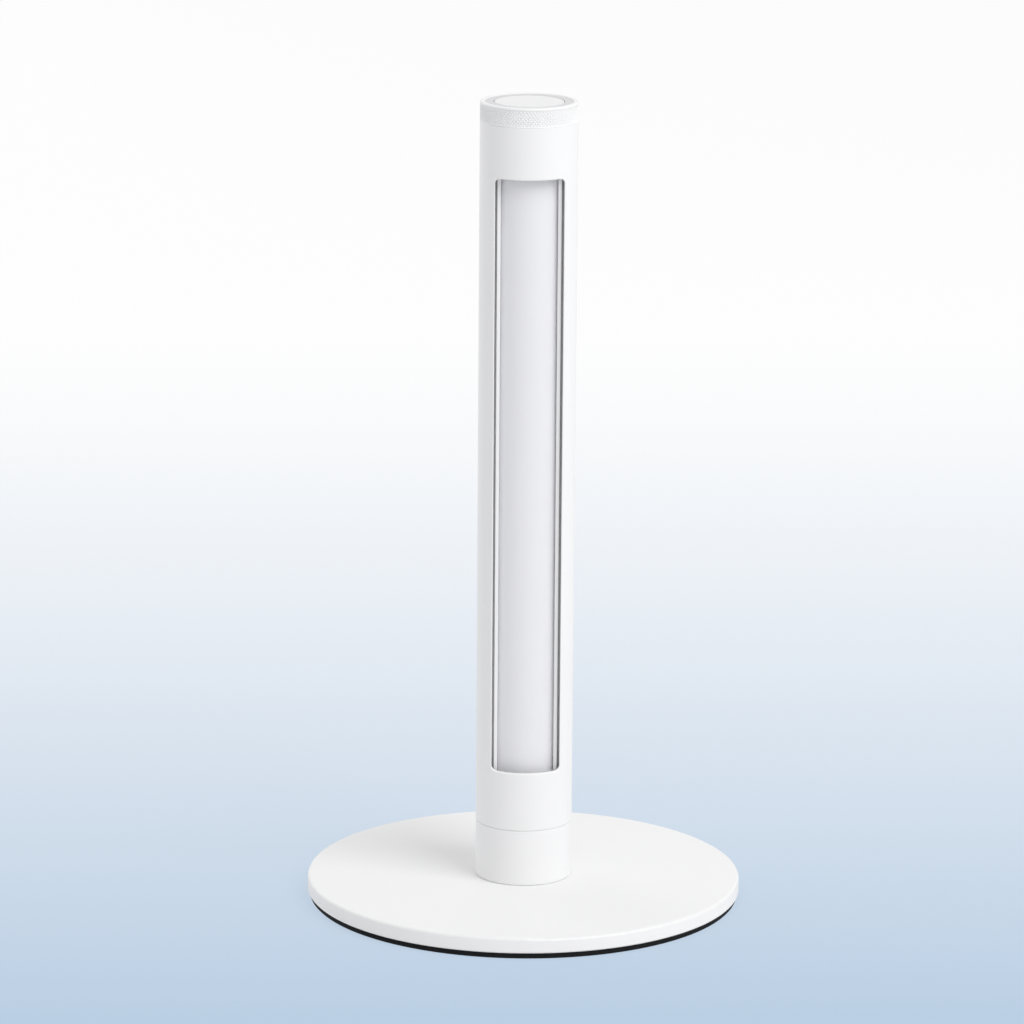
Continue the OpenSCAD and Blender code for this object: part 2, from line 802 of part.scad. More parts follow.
module cap() {
    color("#f2f2f3") difference() {
        rotate_extrude() difference() {
            union() {
                translate([0, grip_top]) rounded_half(column_r, top_z - grip_top, cap_edge_r);
                translate([0, cap_z]) square([grip_seat_r, grip_top - cap_z]);
                translate([0, skirt_z]) square([press_r, cap_z - skirt_z]);
            }
            translate([0, skirt_z - cut]) square([skirt_in_r, cap_under - skirt_z + cut]);
            translate([0, cap_under - cut]) square([stem_r + slide_gap, cap_floor_t + 2 * cut]);
            translate([0, well_z]) square([well_r, top_z - well_z + cut]);
            translate([0, recess_z]) square([recess_r, recess_depth + cut]);
            translate([recess_r, top_z]) edge_cut(rim_edge_r);
        }
        for (a = hook_angles) rotate([0, 0, a - hook_angle / 2 - hook_slot_margin])
            rotate_extrude(angle = hook_angle + 2 * hook_slot_margin)
                translate([hook_r - slide_gap, cap_under - cut])
                    square([hook_t + 2 * slide_gap, cap_floor_t + 2 * cut]);
    }
}

// Ring of another tone that lies in the recess around the button
module trim_ring() {
    color("#cfcfd2") translate([0, 0, trim_z])
        ring(well_r, recess_r - seat_gap, top_z - trim_drop - trim_z);
}

// Knurled ring: a grid of points around the band, alternately on the ridge and in the groove
module grip_ring() {
    columns = 2 * knurl_count;
    rows = 2 * knurl_rows;
    ridge_r = column_r;
    valley_r = column_r - knurl_depth;
    inner_r = column_r - grip_wall;
    function band_r(i, j) = (j == 0 || j == rows || (i + j) % 2 == 0) ? ridge_r : valley_r;
    function around(r, i, z) = [r * cos(360 * i / columns), r * sin(360 * i / columns), z];
    function at(i, j) = j * columns + i % columns;
    function split(a, b, c, d, even) = even ? [[a, b, d], [b, c, d]] : [[a, b, c], [a, c, d]];
    points = concat(
        [for (j = [0 : rows], i = [0 : columns - 1])
            around(band_r(i, j), i, cap_z + seat_gap + j * (grip_top - cap_z - 2 * seat_gap) / rows)],
        [for (z = [grip_top - seat_gap, cap_z + seat_gap], i = [0 : columns - 1]) around(inner_r, i, z)]
    );
    rings = rows + 3;
    faces = [
        for (j = [0 : rings - 1], i = [0 : columns - 1])
            let (k = (j + 1) % rings)
            each split(at(i, j), at(i, k), at(i + 1, k), at(i + 1, j), (i + j) % 2 == 0)
    ];
    color("#ececee") polyhedron(points = points, faces = faces, convexity = 6);
}

// Disc with a stem, a spring pocket and three hooks that catch under the cap's floor
module button() {
    barb_top = cap_under - hook_touch;
    color("#ebebed") {
        difference() {
            translate([0, 0, button_z]) rotate_extrude() rounded_half(button_r, button_t, button_edge_r);
            translate([0, 0, button_z - cut])
                ring(stem_r, (spring_d + spring_wire_d) / 2 + pocket_gap, pocket_top - button_z + cut);
        }
        translate([0, 0, stem_end]) cylinder(r = stem_r, h = pocket_top - stem_end);
        for (a = hook_angles) rotate([0, 0, a - hook_angle / 2]) rotate_extrude(angle = hook_angle) {
            translate([hook_r, barb_top - barb_h]) square([hook_t, button_z - barb_top + barb_h]);
            translate([hook_r, barb_top - barb_h]) square([hook_t + barb, barb_h]);
        }
    }
}

// Coil between the well's floor and the roof of the button's pocket
module button_spring() {
    sides = 6;
    rings = spring_rings_per_turn * spring_turns;
    wire_r = spring_wire_d / 2;
    low = well_z + wire_r + seat_gap;
    high = pocket_top - wire_r - seat_gap;
    function coil_point(k, s) = let (
            a = 360 * spring_turns * k / rings,
            r = spring_d / 2 + wire_r * cos(360 * s / sides),
            z = low + (high - low) * k / rings + wire_r * sin(360 * s / sides)
        ) [r * cos(a), r * sin(a), z];
    points = [for (k = [0 : rings], s = [0 : sides - 1]) coil_point(k, s)];
    walls = [
        for (k = [0 : rings - 1], s = [0 : sides - 1])
            let (a = k * sides + s, b = k * sides + (s + 1) % sides)
            each [[a, a + sides, b], [b, a + sides, b + sides]]
    ];
    start = [for (s = [1 : sides - 2]) [0, s, s + 1]];
    end = [for (s = [1 : sides - 2]) [rings * sides, rings * sides + s + 1, rings * sides + s]];
    color("#9fa2a6") polyhedron(points = points, faces = concat(walls, start, end), convexity = 8);
}

foot_pad();
base_plate();
base_screws();
collar();
core_foot();
thrust_washer();
stop_pin();
board_spacers();
driver_board();
driver_parts();
inlet_shell();
inlet_tongue();
spine();
foot_screws();
led_board();
led_chips();
light_leads();
diffuser();
core_head();
head_screws();
retaining_clip();
switch_leads();
switch_board();
switch_board_screws();
switch_body();
switch_plunger();
sleeve();
lower_bush();
upper_bush();
cap();
trim_ring();
grip_ring();
button();
button_spring();
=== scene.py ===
"""Looks of a slim column lamp whose light is shown or hidden by turning a window sleeve.

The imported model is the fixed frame. This script gives every piece of it a finish, builds the pieces whose
surface needs a finer mesh than the solids have, and sets up the studio. Lengths are in metres.
"""

import json
import math

import bmesh
import bpy
from mathutils import Matrix, Vector


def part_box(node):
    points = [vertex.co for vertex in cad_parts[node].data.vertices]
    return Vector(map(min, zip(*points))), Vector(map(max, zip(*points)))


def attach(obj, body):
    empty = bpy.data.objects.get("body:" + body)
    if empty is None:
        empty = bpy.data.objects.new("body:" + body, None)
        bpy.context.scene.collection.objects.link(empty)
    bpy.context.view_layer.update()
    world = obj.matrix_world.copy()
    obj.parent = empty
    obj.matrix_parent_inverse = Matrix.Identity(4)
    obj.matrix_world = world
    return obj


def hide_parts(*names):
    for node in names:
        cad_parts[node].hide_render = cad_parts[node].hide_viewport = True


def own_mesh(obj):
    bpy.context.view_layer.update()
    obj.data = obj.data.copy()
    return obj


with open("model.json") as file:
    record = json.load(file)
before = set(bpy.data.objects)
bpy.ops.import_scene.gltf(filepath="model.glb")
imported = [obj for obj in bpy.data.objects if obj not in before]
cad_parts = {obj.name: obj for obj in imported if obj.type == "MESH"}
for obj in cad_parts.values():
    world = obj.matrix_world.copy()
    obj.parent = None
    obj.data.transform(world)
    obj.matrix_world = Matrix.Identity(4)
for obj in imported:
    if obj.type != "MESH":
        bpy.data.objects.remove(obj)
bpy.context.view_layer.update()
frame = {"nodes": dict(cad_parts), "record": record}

bl_info = {
    "name": "Window Sleeve Lamp",
    "version": (1, 0, 0),
    "blender": (4, 5, 0),
    "location": "View3D > Sidebar > Lamp",
    "description": "Dresses the packed lamp with its finishes and fine pieces, and sets up the studio",
    "category": "Object",
}

MM = 0.001
PREFIX = "lamp_"
SLEEVE_LOW, SLEEVE_HIGH = (Vector(corner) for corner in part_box("sleeve"))
GRIP_LOW, GRIP_HIGH = (Vector(corner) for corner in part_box("grip_ring"))
SPRING_LOW, SPRING_HIGH = (Vector(corner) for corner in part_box("button_spring"))
TONGUE_LOW, TONGUE_HIGH = (Vector(corner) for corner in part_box("inlet_tongue"))


def length(name, description, millimetres):
    """Property for a length that is written in millimetres."""
    return bpy.props.FloatProperty(
        name=name, description=description, default=millimetres * MM, min=0.0, precision=5,
        subtype="DISTANCE", unit="LENGTH")


def angle(name, description, degrees):
    """Property for an angle that is written in degrees."""
    return bpy.props.FloatProperty(
        name=name, description=description, default=math.radians(degrees), subtype="ANGLE", unit="ROTATION")


def colour(name, description, red, green, blue):
    """Property for a linear colour."""
    return bpy.props.FloatVectorProperty(
        name=name, description=description, default=(red, green, blue), size=3, min=0.0, max=1.0,
        subtype="COLOR")


def share(name, description, value):
    """Property for a share between 0 and 1."""
    return bpy.props.FloatProperty(
        name=name, description=description, default=value, min=0.0, max=1.0, subtype="FACTOR")


def amount(name, description, value, unit="NONE"):
    """Property for a plain number, with the unit it has."""
    return bpy.props.FloatProperty(name=name, description=description, default=value, min=0.0, unit=unit)


def count(name, description, value):
    """Property for a whole number."""
    return bpy.props.IntProperty(name=name, description=description, default=value, min=1)


class SleeveSettings(bpy.types.PropertyGroup):
    """Sizes of the turning sleeve and its window."""
    wall: length("Wall", "Thickness of the tube", 1.5)
    window_width: length("Window Width", "Clear width of the window", 28.0)
    window_foot: length("Below Window", "Closed tube below the window", 24.5)
    window_drop: length("Above Window", "Closed tube above the window", 21.5)
    corner: length("Window Corner", "Corner radius of the window", 2.0)
    edge: length("Window Edge", "Rounding of the window's outer edge", 0.65)
    inner_edge: length("Inner Edge", "Rounding of the window's inner edge", 0.15)
    foot_edge: length("Foot Edge", "Rounding of the tube's lower end", 0.15)
    head_edge: length("Head Edge", "Rounding of the tube's upper end", 0.1)


class GripSettings(bpy.types.PropertyGroup):
    """Sizes of the knurled band."""
    wall: length("Wall", "Thickness of the band", 0.85)
    depth: length("Depth", "Depth of the knurl", 0.35)
    around: count("Around", "Diamonds around the band", 90)
    rows: count("Rows", "Diamonds up the band", 4)
    steepness: amount("Steepness", "Slope of the diamonds' sides; above 1 their tops are flat", 1.3)


class SpringSettings(bpy.types.PropertyGroup):
    """Sizes of the coil under the button."""
    wire: length("Wire", "Diameter of the wire", 0.4)
    turns: amount("Turns", "Turns of the coil", 2.5)
    pressed: share("Pressed", "Height of the pressed coil as a share of its height at rest", 0.643)


class ContactSettings(bpy.types.PropertyGroup):
    """Sizes of the gilded contacts on the inlet's tongue."""
    number: count("Number", "Contacts on each side of the tongue", 6)
    width: length("Width", "Width of one contact", 0.45)
    proud: length("Proud", "Height of a contact above the tongue", 0.05)
    reach: share("Reach", "Length of a contact as a share of the tongue's", 0.8)


class FinishSettings(bpy.types.PropertyGroup):
    """Colours of the finishes."""
    coat: colour("Coat", "White powder coat of the outside", 0.885, 0.885, 0.89)
    lining: colour("Lining", "White inside of the sleeve", 0.84, 0.84, 0.85)
    rubber: colour("Rubber", "Foot pad", 0.008, 0.008, 0.0085)
    opal: colour("Opal", "Cover of the light", 0.89, 0.89, 0.925)
    spine: colour("Spine", "White extrusion that carries the light", 0.87, 0.87, 0.88)
    button: colour("Button", "Satin plastic of the push button", 0.85, 0.85, 0.855)
    # The ring's grey is partly its own colour and partly painted shade of the recess around the button.
    trim_grey_and_recess_shade: colour("Trim", "Pale grey ring around the button", 0.70, 0.70, 0.71)
    core: colour("Core", "Dark moulded plastic of the light core's ends", 0.05, 0.05, 0.055)
    bearing: colour("Bearing", "Natural slippery plastic", 0.76, 0.76, 0.73)
    black: colour("Black Plastic", "Moulded electrical pieces", 0.025, 0.025, 0.028)
    board: colour("Board", "Green lacquer of the circuit boards", 0.02, 0.12, 0.06)
    copper: colour("Copper", "Copper tracks under the lacquer", 0.06, 0.25, 0.11)
    strip: colour("Light Strip", "White lacquer of the light strip", 0.84, 0.85, 0.86)
    phosphor: colour("Phosphor", "Yellow face of a light package", 0.88, 0.72, 0.24)
    jacket: colour("Jacket", "Insulation of the leads", 0.55, 0.09, 0.07)
    steel: colour("Steel", "Screws, pins, clip and spring", 0.58, 0.59, 0.61)
    gold: colour("Gold", "Contacts of the inlet", 0.86, 0.62, 0.28)


class StageSettings(bpy.types.PropertyGroup):
    """Camera, light and backdrop."""
    distance: length("Distance", "Camera in front of the column's axis", 2248.4)
    height: length("Height", "Camera above the table", 711.3)
    aside: length("Aside", "Camera to the left of the line to the column's axis", 5.8)
    around: angle("Around", "Camera round the column, to the left of the window's front", 2.0)
    pitch: angle("Pitch", "Camera looking down", 13.688)
    roll: angle("Roll", "Camera turned about its own axis", 0.42)
    lens: amount("Lens", "Focal length on a 36 mm wide sensor", 197.67, unit="CAMERA")
    floor: colour("Floor", "Floor as the light meets it", 0.88, 0.88, 0.89)
    near: colour("Near", "Backdrop at the front", 0.498, 0.624, 0.775)
    far: colour("Far", "Backdrop at the rear", 1.0, 1.0, 1.0)
    sky: amount("Sky", "Level of the light from all around", 0.66)
    key: amount("Key", "Power of the large soft light at the right front", 53.0, unit="POWER")
    fill: amount("Fill", "Power of the weaker soft light at the left rear", 18.0, unit="POWER")
    shadow: share("Shadow", "Strength of the object's shadow on the floor", 0.16)


def settings(name):
    """One group of this scene's settings."""
    return getattr(bpy.context.scene, PREFIX + name)


# Shader node groups


def start_group(name, inputs, outputs):
    """New node group with the given sockets: (tree, its inputs, its outputs)."""
    tree = bpy.data.node_groups.new(name, "ShaderNodeTree")
    for label, kind, default in inputs:
        socket = tree.interface.new_socket(label, in_out="INPUT", socket_type="NodeSocket" + kind)
        socket.default_value = default
    for label, kind in outputs:
        tree.interface.new_socket(label, in_out="OUTPUT", socket_type="NodeSocket" + kind)
    return tree, tree.nodes.new("NodeGroupInput").outputs, tree.nodes.new("NodeGroupOutput").inputs


def feed(tree, socket, value):
    """Links an output to a socket, or sets the socket to a plain value."""
    if isinstance(value, bpy.types.NodeSocket):
        tree.links.new(value, socket)
    else:
        socket.default_value = value


def add_math(tree, operation, first, second):
    """Math node on two outputs or numbers; returns its output."""
    node = tree.nodes.new("ShaderNodeMath")
    node.operation = operation
    feed(tree, node.inputs[0], first)
    feed(tree, node.inputs[1], second)
    return node.outputs["Value"]


def add_noise(tree, size, detail, stretch=(1.0, 1.0, 1.0)):
    """Noise in the object's own coordinates with features of the given size; returns its factor."""
    place = tree.nodes.new("ShaderNodeTexCoord")
    mapping = tree.nodes.new("ShaderNodeMapping")
    mapping.inputs["Scale"].default_value = stretch
    noise = tree.nodes.new("ShaderNodeTexNoise")
    noise.inputs["Detail"].default_value = detail
    tree.links.new(place.outputs["Object"], mapping.inputs["Vector"])
    tree.links.new(mapping.outputs["Vector"], noise.inputs["Vector"])
    tree.links.new(add_math(tree, "DIVIDE", 1.0, size), noise.inputs["Scale"])
    return noise.outputs["Fac"]


def add_mix(tree, factor, first, second):
    """Mix of two colours, each an output or plain; returns its result."""
    mix = tree.nodes.new("ShaderNodeMix")
    mix.data_type = "RGBA"
    colours = [socket for socket in mix.inputs if socket.type == "RGBA"]
    feed(tree, mix.inputs["Factor"], factor)
    feed(tree, colours[0], first)
    feed(tree, colours[1], second)
    return next(socket for socket in mix.outputs if socket.type == "RGBA")


def grain_group(name):
    """Fine grain with a slower waviness under it, as a height."""
    wave_stretch = 5.0
    tree, given, made = start_group(
        name, [("Size", "Float", 0.4 * MM), ("Waviness", "Float", 0.4)], [("Height", "Float")])
    fine = add_noise(tree, given["Size"], detail=2.0)
    slow = add_noise(tree, add_math(tree, "MULTIPLY", given["Size"], wave_stretch), detail=1.0)
    wave = add_math(tree, "MULTIPLY", slow, given["Waviness"])
    tree.links.new(add_math(tree, "ADD", fine, wave), made["Height"])
    return tree


def drift_group(name):
    """Slow drift of a colour, and of the gloss where hands have touched it."""
    smear_share = 0.4
    noise_middle = 0.5
    tree, given, made = start_group(
        name,
        [("Colour", "Color", (0.8, 0.8, 0.8, 1.0)), ("Drift", "Float", 0.03), ("Size", "Float", 40 * MM),
         ("Roughness", "Float", 0.5), ("Touch", "Float", 0.06)],
        [("Colour", "Color"), ("Roughness", "Float")])
    slow = add_noise(tree, given["Size"], detail=3.0)
    dark = tree.nodes.new("ShaderNodeVectorMath")
    dark.operation = "SCALE"
    tree.links.new(given["Colour"], dark.inputs[0])
    tree.links.new(add_math(tree, "SUBTRACT", 1.0, given["Drift"]), dark.inputs["Scale"])
    tree.links.new(add_mix(tree, slow, dark.outputs["Vector"], given["Colour"]), made["Colour"])
    smear = add_noise(tree, add_math(tree, "MULTIPLY", given["Size"], smear_share), detail=4.0)
    away = add_math(tree, "MULTIPLY", add_math(tree, "SUBTRACT", smear, noise_middle), given["Touch"])
    tree.links.new(add_math(tree, "ADD", given["Roughness"], away), made["Roughness"])
    return tree


def lines_group(name):
    """Fine lines that run up the column, as drawing or extruding leaves them."""
    up_the_column = (1.0, 1.0, 0.01)
    tree, given, made = start_group(name, [("Pitch", "Float", 0.3 * MM)], [("Height", "Float")])
    tree.links.new(add_noise(tree, given["Pitch"], detail=2.0, stretch=up_the_column), made["Height"])
    return tree


def tracks_group(name):
    """Mask of copper tracks on a board: thin lines with turns."""
    tree, given, made = start_group(name, [("Pitch", "Float", 1.6 * MM)], [("Mask", "Float")])
    place = tree.nodes.new("ShaderNodeTexCoord")
    brick = tree.nodes.new("ShaderNodeTexBrick")
    brick.inputs["Mortar Size"].default_value = 0.12
    brick.inputs["Mortar Smooth"].default_value = 0.1
    brick.inputs["Brick Width"].default_value = 1.7
    brick.inputs["Row Height"].default_value = 0.6
    tree.links.new(place.outputs["Object"], brick.inputs["Vector"])
    tree.links.new(add_math(tree, "DIVIDE", 1.0, given["Pitch"]), brick.inputs["Scale"])
    tree.links.new(brick.outputs["Fac"], made["Mask"])
    return tree


GROUPS = {
    "Surface Grain": grain_group,
    "Tone Drift": drift_group,
    "Drawn Lines": lines_group,
    "Copper Tracks": tracks_group,
}


def use_group(material, name, **values):
    """Places a shared node group, built once, in a material with its own values."""
    node = material.node_tree.nodes.new("ShaderNodeGroup")
    node.node_tree = bpy.data.node_groups.get(name) or GROUPS[name](name)
    for label, value in values.items():
        node.inputs[label].default_value = (*value, 1.0) if label == "Colour" else value
    return node


# Materials


def start_material(name):
    """New material with only a shader."""
    material = bpy.data.materials.new(PREFIX + name)
    material.use_nodes = True
    tree = material.node_tree
    tree.nodes.clear()
    output = tree.nodes.new("ShaderNodeOutputMaterial")
    shader = tree.nodes.new("ShaderNodeBsdfPrincipled")
    tree.links.new(shader.outputs["BSDF"], output.inputs["Surface"])
    return material


def shader_of(material):
    """The material's own shader node."""
    return next(node for node in material.node_tree.nodes if node.type == "BSDF_PRINCIPLED")


def set_shader(material, values):
    """Sets plain values on the shader's own sockets; returns the material."""
    shader = shader_of(material)
    for label, value in values.items():
        shader.inputs[label].default_value = value
    return material


def add_relief(material, height, depth):
    """Relief of the given depth from a height output; returns the material."""
    tree = material.node_tree
    bump = tree.nodes.new("ShaderNodeBump")
    bump.inputs["Distance"].default_value = depth
    tree.links.new(height, bump.inputs["Height"])
    tree.links.new(bump.outputs["Normal"], shader_of(material).inputs["Normal"])
    return material


def toned(name, base, roughness, drift=0.03, size=40 * MM, touch=0.06):
    """Material whose colour and gloss drift slowly."""
    material = start_material(name)
    shader = shader_of(material)
    tone = use_group(
        material, "Tone Drift", Colour=base, Drift=drift, Size=size, Roughness=roughness, Touch=touch)
    material.node_tree.links.new(tone.outputs["Colour"], shader.inputs["Base Color"])
    material.node_tree.links.new(tone.outputs["Roughness"], shader.inputs["Roughness"])
    return material


def grained(name, base, grain, depth, **tone):
    """Toned material with a fine grain of the given size and depth."""
    material = toned(name, base, **tone)
    return add_relief(material, use_group(material, "Surface Grain", Size=grain).outputs["Height"], depth)


def lined(name, base, pitch, depth, **tone):
    """Toned material with fine lines along the column, of the given pitch and depth."""
    material = toned(name, base, **tone)
    return add_relief(material, use_group(material, "Drawn Lines", Pitch=pitch).outputs["Height"], depth)


def white_coat(colours):
    """Matte powder coat with its slight orange peel."""
    return grained(
        "white_coat", colours.coat, grain=0.45 * MM, depth=0.012 * MM,
        roughness=0.52, drift=0.015, size=60 * MM)


def white_lining(colours):
    """Thin coat inside the sleeve."""
    return grained("white_lining", colours.lining, grain=0.3 * MM, depth=0.02 * MM, roughness=0.7)


def pad_rubber(colours):
    """Matte rubber of the foot pad."""
    material = grained(
        "pad_rubber", colours.rubber, grain=0.8 * MM, depth=0.05 * MM,
        roughness=0.85, drift=0.3, size=15 * MM)
    return set_shader(material, {"Specular IOR Level": 0.25})


def opal(colours):
    """Satin opal plastic, a little translucent."""
    material = grained(
        "opal", colours.opal, grain=0.25 * MM, depth=0.004 * MM,
        roughness=0.42, drift=0.012, size=30 * MM)
    return set_shader(material, {
        "Subsurface Weight": 0.5,
        "Subsurface Radius": (1.0, 1.0, 1.0),
        "Subsurface Scale": 3.0 * MM,
        "IOR": 1.49,
    })


def white_spine(colours):
    """White extrusion with faint drawing lines."""
    return lined("white_spine", colours.spine, pitch=0.25 * MM, depth=0.008 * MM, roughness=0.45, drift=0.02)


def button_plastic(colours):
    """Satin moulded plastic with a fine spark texture."""
    return grained(
        "button_plastic", colours.button, grain=0.22 * MM, depth=0.008 * MM,
        roughness=0.48, drift=0.015, size=12 * MM)


def trim_plastic(colours):
    """Matte plastic, pale grey: partly the ring's own colour, partly painted shade of the recess around the
    button.
    """
    return grained(
        "trim_plastic", colours.trim_grey_and_recess_shade, grain=0.25 * MM, depth=0.01 * MM, roughness=0.6, size=8 * MM)


def core_plastic(colours):
    """Dark moulded plastic."""
    return grained(
        "core_plastic", colours.core, grain=0.3 * MM, depth=0.012 * MM,
        roughness=0.55, drift=0.15, size=10 * MM)


def bearing_plastic(colours):
    """Natural slippery plastic, a little waxy."""
    material = grained(
        "bearing_plastic", colours.bearing, grain=0.35 * MM, depth=0.005 * MM, roughness=0.38, size=8 * MM)
    return set_shader(material, {"Subsurface Weight": 0.1, "Subsurface Scale": 1.0 * MM})


def black_plastic(colours):
    """Black moulded housings."""
    return grained(
        "black_plastic", colours.black, grain=0.2 * MM, depth=0.01 * MM,
        roughness=0.5, drift=0.2, size=5 * MM)


def circuit_board(colours):
    """Green lacquer over copper tracks."""
    material = toned("circuit_board", colours.board, roughness=0.3, drift=0.1, size=6 * MM)
    tree = material.node_tree
    base = shader_of(material).inputs["Base Color"]
    lacquer = base.links[0].from_socket
    tracks = use_group(material, "Copper Tracks", Pitch=1.6 * MM).outputs["Mask"]
    tree.links.new(add_mix(tree, tracks, lacquer, (*colours.copper, 1.0)), base)
    return add_relief(material, tracks, depth=0.03 * MM)


def light_strip(colours):
    """White lacquered strip with its tracks showing faintly through."""
    material = toned("light_strip", colours.strip, roughness=0.35, size=8 * MM)
    tracks = use_group(material, "Copper Tracks", Pitch=4.0 * MM).outputs["Mask"]
    return add_relief(material, tracks, depth=0.03 * MM)


def light_package(colours):
    """Yellow phosphor face of a light package."""
    return grained(
        "light_package", colours.phosphor, grain=0.15 * MM, depth=0.01 * MM,
        roughness=0.3, drift=0.12, size=1.0 * MM)


def lead_jacket(colours):
    """Insulation of the leads, with faint drawing lines."""
    return lined(
        "lead_jacket", colours.jacket, pitch=0.2 * MM, depth=0.006 * MM,
        roughness=0.4, drift=0.08, size=10 * MM)


def metal(name, base, roughness, pitch):
    """Bare metal with fine drawing lines."""
    material = lined(
        name, base, pitch=pitch, depth=0.004 * MM, roughness=roughness, drift=0.12, size=4 * MM, touch=0.12)
    return set_shader(material, {"Metallic": 1.0})


def steel(colours):
    """Plain bright steel."""
    return metal("steel", colours.steel, roughness=0.34, pitch=0.12 * MM)


def gold(colours):
    """Gilding of the contacts."""
    return metal("gold", colours.gold, roughness=0.25, pitch=0.08 * MM)


FINISHES = {
    "white_coat": white_coat,
    "white_lining": white_lining,
    "pad_rubber": pad_rubber,
    "opal": opal,
    "white_spine": white_spine,
    "button_plastic": button_plastic,
    "trim_plastic": trim_plastic,
    "core_plastic": core_plastic,
    "bearing_plastic": bearing_plastic,
    "black_plastic": black_plastic,
    "circuit_board": circuit_board,
    "light_strip": light_strip,
    "light_package": light_package,
    "lead_jacket": lead_jacket,
    "steel": steel,
    "gold": gold,
}


def finish(name):
    """The material of a finish, built on first use."""
    return bpy.data.materials.get(PREFIX + name) or FINISHES[name](settings("finish"))


# Meshes


def add_piece(name, mesh, body, slot, nodes, *finishes):
    """Puts a finished mesh in the scene as a piece that rides on a body and stands for CAD nodes."""
    piece = bpy.data.objects.new(name, mesh)
    bpy.context.scene.collection.objects.link(piece)
    for item in finishes:
        mesh.materials.append(finish(item))
    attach(piece, body)
    if nodes:
        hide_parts(*nodes)
    return piece


def to_mesh(work, name, smooth_angle):
    """Closes a bmesh into a mesh with outward normals, smooth up to the given angle."""
    bmesh.ops.recalc_face_normals(work, faces=work.faces)
    mesh = bpy.data.meshes.new(name)
    work.to_mesh(mesh)
    work.free()
    mesh.shade_smooth()
    mesh.set_sharp_from_angle(angle=smooth_angle)
    return mesh


def join_loops(work, first, second, material=0):
    """Quads between two closed loops of vertices."""
    total = len(first)
    for i in range(total):
        j = (i + 1) % total
        work.faces.new((first[i], first[j], second[j], second[i])).material_index = material


def join_grid(work, columns, material=0):
    """Quads between neighbouring columns of vertices."""
    for left, right in zip(columns, columns[1:]):
        for k in range(len(left) - 1):
            work.faces.new((left[k], right[k], right[k + 1], left[k + 1])).material_index = material


def spread(start, end, steps):
    """Evenly spaced values, both ends included."""
    return [start + (end - start) * k / steps for k in range(steps + 1)]


def keep_flat_areas(piece):
    """Normals that follow the large faces, so that roundings don't shade the flats beside them."""
    modifier = piece.modifiers.new("even normals", "WEIGHTED_NORMAL")
    modifier.keep_sharp = True
    modifier.weight = 100


class SleeveSkin:
    """One skin of the sleeve, outer or inner: a tube around a window with rounded corners.

    The window faces -Y. Columns of vertices cross its width and then go round the back, and every skin has
    the same count of them, so that skins join loop to loop.
    """

    ACROSS = 24
    CORNER = 6
    BEHIND = 72
    END_ROWS = 3
    SIDE_ROWS = 10

    def __init__(self, sizes):
        self.half = sizes.window_width / 2
        self.corner = sizes.corner
        self.low = SLEEVE_LOW.z + sizes.window_foot
        self.high = SLEEVE_HIGH.z - sizes.window_drop

    def outline(self, offset):
        """(x, lift) across the window's lower edge: lift is the height above the straight edge."""
        flat = self.half - self.corner
        round_r = self.corner + offset
        turns = [math.pi / 2 * k / self.CORNER for k in range(1, self.CORNER + 1)]
        right = [(flat + round_r * math.sin(t), round_r * (1 - math.cos(t)) - offset) for t in turns]
        middle = [(x, -offset) for x in spread(-flat, flat, self.ACROSS)]
        left = [(-x, lift) for x, lift in reversed(right)]
        return left + middle + right

    @staticmethod
    def on_tube(radius, x, z):
        """Point on the front of a tube."""
        return Vector((x, -math.sqrt(radius * radius - x * x), z))

    def side_heights(self):
        """Heights of the rows along the window's straight sides, ends included."""
        return spread(self.low + self.corner, self.high - self.corner, self.SIDE_ROWS)

    def window_loop(self, work, radius, offset):
        """Closed loop of vertices around the window: lower edge, right side, upper edge, left side."""
        edge = self.outline(offset)
        sides = self.side_heights()[1:-1]
        wide = self.half + offset
        points = [(x, self.low + lift) for x, lift in edge]
        points += [(wide, z) for z in sides]
        points += [(x, self.high - lift) for x, lift in reversed(edge)]
        points += [(-wide, z) for z in reversed(sides)]
        return [work.verts.new(self.on_tube(radius, x, z)) for x, z in points]

    def build(self, work, radius, offset, bottom, top, material):
        """Tube wall around the window: (window loop, bottom loop, top loop)."""
        loop = self.window_loop(work, radius, offset)
        edge = self.outline(offset)
        wide = len(edge)
        sides = self.SIDE_ROWS - 1
        lower = loop[:wide]
        right = loop[wide:wide + sides]
        upper = list(reversed(loop[wide + sides:2 * wide + sides]))
        left = list(reversed(loop[2 * wide + sides:]))

        def rows_to(vertex, z):
            """New vertices from an end of the tube to a vertex of the window's edge."""
            heights = spread(z, vertex.co.z, self.END_ROWS)[:-1]
            return [work.verts.new((vertex.co.x, vertex.co.y, h)) for h in heights]

        below = [rows_to(vertex, bottom) + [vertex] for vertex in lower]
        above = [[vertex] + list(reversed(rows_to(vertex, top))) for vertex in upper]
        join_grid(work, below, material)
        join_grid(work, above, material)
        first = below[-1] + right + above[-1]
        last = below[0] + left + above[0]
        start = math.asin(edge[-1][0] / radius)
        columns = [first]
        for turn in spread(start, 2 * math.pi - start, self.BEHIND)[1:-1]:
            x, y = radius * math.sin(turn), -radius * math.cos(turn)
            columns.append([work.verts.new((x, y, vertex.co.z)) for vertex in first])
        columns.append(last)
        join_grid(work, columns, material)
        around = [column[0] for column in columns[1:-1]]
        over = [column[-1] for column in columns[1:-1]]
        return loop, [c[0] for c in below] + around, [c[-1] for c in above] + over


